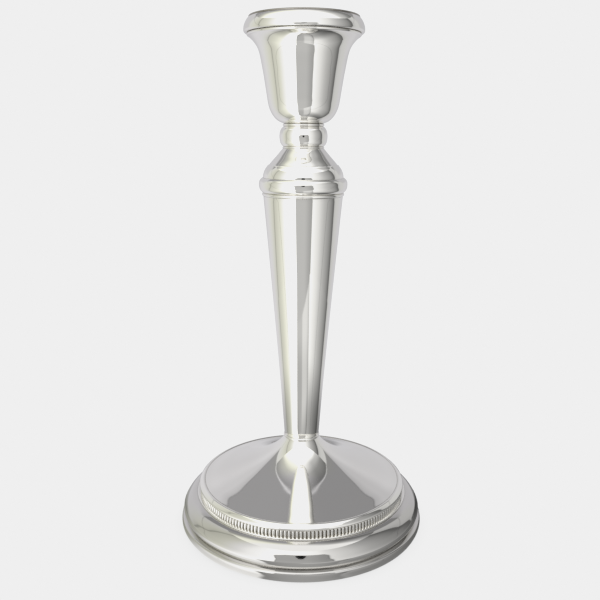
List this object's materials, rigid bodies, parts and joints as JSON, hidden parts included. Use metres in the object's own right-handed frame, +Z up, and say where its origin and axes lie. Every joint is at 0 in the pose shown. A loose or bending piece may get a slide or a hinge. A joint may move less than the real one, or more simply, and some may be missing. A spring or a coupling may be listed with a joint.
{
  "type": "altar candlestick",
  "caption": "Tall round candlestick with a stepped, bead-bordered foot, tapering column, ball knop, bell socket and lift-out drip-pan nozzle.",
  "frame": {"origin": "centre of the underside of the base pad", "axes": "+Z up the axis of the stick; X and Y lie in the table plane and are equivalent"},
  "size_m": [0.1268, 0.1268, 0.254],
  "materials": {
    "polished_silver": "mirror polish",
    "cast_silver": "polished casting, darker in the grooves",
    "satin_silver": "fine satin",
    "tinned_steel": "dull tinned",
    "yellow_brass": "turned",
    "plaster": "cast, matt",
    "felt": "short pile"
  },
  "bodies": {
    "stick": {"felt_pad": "felt", "base_plate": "tinned_steel", "foot_band": "polished_silver", "base_torus": "polished_silver", "step_fillet": "polished_silver", "step_wall": "polished_silver", "bead_border": "cast_silver", "base_cone": "polished_silver", "base_filling": "plaster", "load_washer": "tinned_steel", "lock_washer": "tinned_steel", "bottom_nut": "yellow_brass", "tie_rod": "tinned_steel", "column_foot_ring": "polished_silver", "column_tube": "polished_silver", "column_filling": "plaster", "column_top_ring": "polished_silver", "collar_ring": "polished_silver", "shoulder_cap": "polished_silver", "knop_lower_ring": "polished_silver", "knop": "polished_silver", "knop_upper_ring": "polished_silver", "socket_bell": "polished_silver", "clamp_washer": "tinned_steel", "top_nut": "yellow_brass", "socket_liner": "satin_silver"},
    "nozzle": {"nozzle_cup": "satin_silver", "nozzle_floor": "satin_silver", "cup_lip_ring": "polished_silver", "drip_pan": "polished_silver", "pan_rim_wire": "polished_silver", "pan_underplate": "satin_silver"}
  },
  "joints": [
    {"name": "nozzle_lift", "type": "slide", "parent": "stick", "child": "nozzle", "axis": [0, 0, 1], "range_m": [0, 0.05]}
  ]
}
